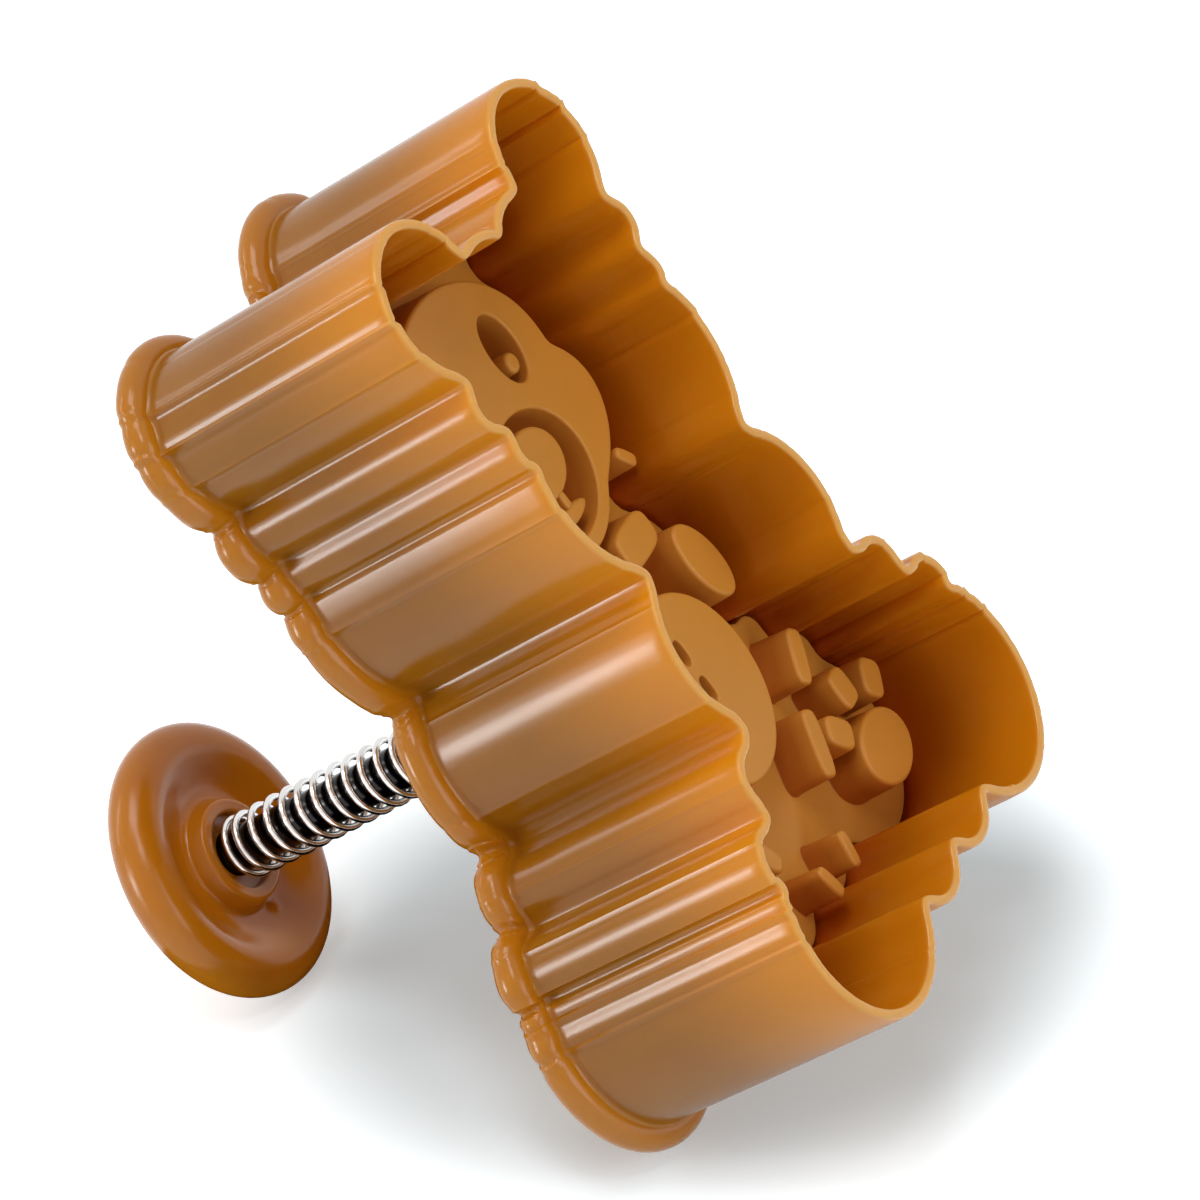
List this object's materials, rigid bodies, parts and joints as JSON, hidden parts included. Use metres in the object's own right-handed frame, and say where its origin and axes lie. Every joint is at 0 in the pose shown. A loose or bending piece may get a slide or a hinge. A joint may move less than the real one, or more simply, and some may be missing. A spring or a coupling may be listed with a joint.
{
  "type": "plunger cookie cutter",
  "caption": "Bear-shaped plunger cutter for cookie dough: a thin wall cuts the outline, a sprung stamp prints the relief and pushes the piece out.",
  "frame": {"origin": "centre of the knob's flat face, on the plunger's axis; the part stands on that face with the cutting edge up", "axes": "+Z along the plunger from the knob to the cutting edge, +Y to the bear's head, +X to the bear's left arm"},
  "size_m": [0.061, 0.0845, 0.0685],
  "materials": {
    "shell_plastic": "semi-gloss, slightly translucent caramel polypropylene",
    "stamp_plastic": "satin caramel polypropylene",
    "knob_plastic": "semi-gloss caramel polypropylene",
    "shaft_steel": "polished stainless steel",
    "spring_steel": "bright nickel-plated spring wire",
    "fastener_steel": "plain stainless steel"
  },
  "bodies": {
    "shell": {"cutter_shell": "shell_plastic", "spring_washer": "fastener_steel", "return_spring": "spring_steel"},
    "plunger": {"plunger_knob": "knob_plastic", "plunger_shaft": "shaft_steel", "stamp_plate": "stamp_plastic", "knob_screw": "fastener_steel", "knob_plug": "knob_plastic"}
  },
  "joints": [
    {"name": "plunger_slide", "type": "slide", "parent": "shell", "child": "plunger", "axis": [0, 0, 1], "range_m": [0, 0.0105], "stiffness_N_per_m": 300, "springref_m": -0.015, "deforming": ["return_spring"]}
  ]
}
